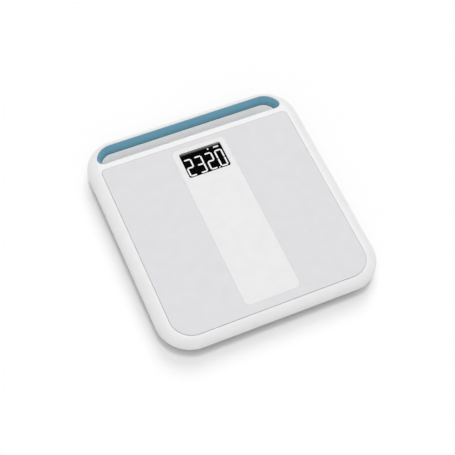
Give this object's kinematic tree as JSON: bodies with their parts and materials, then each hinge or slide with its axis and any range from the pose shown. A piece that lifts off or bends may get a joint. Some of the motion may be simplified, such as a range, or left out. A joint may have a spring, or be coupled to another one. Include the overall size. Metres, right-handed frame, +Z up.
{
  "type": "digital bathroom scale",
  "caption": "Flat square digital bathroom scale with rounded rim, inlaid grey mat, pale centre strip with a dark display window, and a carry-handle slot along the rear edge.",
  "frame": {"origin": "on the floor, under the middle of the outline seen from above", "axes": "+X to the right as the user stands on it, +Y back towards the handle and the display, +Z up"},
  "size_m": [0.331, 0.356, 0.038],
  "materials": {
    "white_housing": "satin white moulded plastic",
    "grey_mat": "matte light-grey soft mat",
    "pale_strip": "matte near-white soft strip",
    "blue_grip": "matte blue soft-touch liner",
    "smoked_window": "glossy smoked clear plastic",
    "display_glass": "black display glass",
    "lit_digits": "white lit segments",
    "light_guide": "milky acrylic",
    "frame_plastic": "moulded plastic",
    "ribbon_film": "amber film",
    "zinc_steel": "zinc-plated sheet steel",
    "board_green": "solder-masked board",
    "chip_black": "black epoxy",
    "can_steel": "plated steel",
    "socket_ivory": "ivory nylon",
    "button_grey": "grey moulded plastic",
    "button_blue": "blue moulded plastic",
    "battery_sleeve": "dark printed sleeve",
    "nickel": "nickel-plated spring steel",
    "wire_red": "insulated wire",
    "wire_black": "insulated wire",
    "wire_grey": "insulated wire",
    "foot_grey": "grey moulded plastic",
    "pad_rubber": "dark non-slip rubber",
    "screw_steel": "zinc-plated steel"
  },
  "bodies": {
    "housing": {"top_cover": "white_housing", "bottom_cover": "white_housing", "platform_mat": "grey_mat", "centre_strip": "pale_strip", "handle_grip": "blue_grip", "stiffener_plate": "zinc_steel", "display_window": "smoked_window", "display_glass": "display_glass", "display_segments": "lit_digits", "backlight": "light_guide", "display_frame": "frame_plastic", "display_ribbon": "ribbon_film", "circuit_board": "board_green", "control_chip": "chip_black", "converter_chip": "chip_black", "radio_module": "board_green", "crystal": "can_steel", "lead_sockets": "socket_ivory", "ribbon_socket": "socket_ivory", "power_socket": "socket_ivory", "unit_switch": "can_steel", "pairing_switch": "can_steel", "battery_1": "battery_sleeve", "battery_2": "battery_sleeve", "battery_3": "battery_sleeve", "battery_4": "battery_sleeve", "battery_springs": "nickel", "battery_bridges": "nickel", "battery_terminals": "nickel", "battery_lead_red": "wire_red", "battery_lead_black": "wire_black", "load_cell_front_left": "zinc_steel", "load_cell_front_right": "zinc_steel", "load_cell_rear_left": "zinc_steel", "load_cell_rear_right": "zinc_steel", "cell_lead_front_left": "wire_grey", "cell_lead_front_right": "wire_grey", "cell_lead_rear_left": "wire_grey", "cell_lead_rear_right": "wire_grey", "cover_screws": "screw_steel", "board_screws": "screw_steel", "frame_screws": "screw_steel"},
    "front_left_foot": {"foot_front_left": "foot_grey", "pad_front_left": "pad_rubber"},
    "front_right_foot": {"foot_front_right": "foot_grey", "pad_front_right": "pad_rubber"},
    "rear_left_foot": {"foot_rear_left": "foot_grey", "pad_rear_left": "pad_rubber"},
    "rear_right_foot": {"foot_rear_right": "foot_grey", "pad_rear_right": "pad_rubber"},
    "unit_key": {"unit_button": "button_grey", "unit_switch_plunger": "chip_black"},
    "pairing_key": {"pairing_button": "button_blue", "pairing_switch_plunger": "chip_black"},
    "battery_lid": {"battery_door": "white_housing"}
  },
  "joints": [
    {"name": "front_left_foot_press", "type": "slide", "parent": "housing", "child": "front_left_foot", "axis": [0, 0, 1], "range_m": [0, 0.0008], "stiffness_N_per_m": 2000, "springref_m": -0.003, "deforming": ["load_cell_front_left"]},
    {"name": "front_right_foot_press", "type": "slide", "parent": "housing", "child": "front_right_foot", "axis": [0, 0, 1], "range_m": [0, 0.0008], "stiffness_N_per_m": 2000, "springref_m": -0.003, "deforming": ["load_cell_front_right"]},
    {"name": "rear_left_foot_press", "type": "slide", "parent": "housing", "child": "rear_left_foot", "axis": [0, 0, 1], "range_m": [0, 0.0008], "stiffness_N_per_m": 2000, "springref_m": -0.003, "deforming": ["load_cell_rear_left"]},
    {"name": "rear_right_foot_press", "type": "slide", "parent": "housing", "child": "rear_right_foot", "axis": [0, 0, 1], "range_m": [0, 0.0008], "stiffness_N_per_m": 2000, "springref_m": -0.003, "deforming": ["load_cell_rear_right"]},
    {"name": "unit_key_press", "type": "slide", "parent": "housing", "child": "unit_key", "axis": [0, 0, 1], "range_m": [0, 0.0008], "stiffness_N_per_m": 1500, "springref_m": -0.0003},
    {"name": "pairing_key_press", "type": "slide", "parent": "housing", "child": "pairing_key", "axis": [0, 0, 1], "range_m": [0, 0.0008], "stiffness_N_per_m": 1500, "springref_m": -0.0003},
    {"name": "battery_lid_hinge", "type": "hinge", "parent": "housing", "child": "battery_lid", "pos_m": [0, 0.0105, 0.008], "axis": [1, 0, 0], "range_deg": [0, 90]}
  ]
}
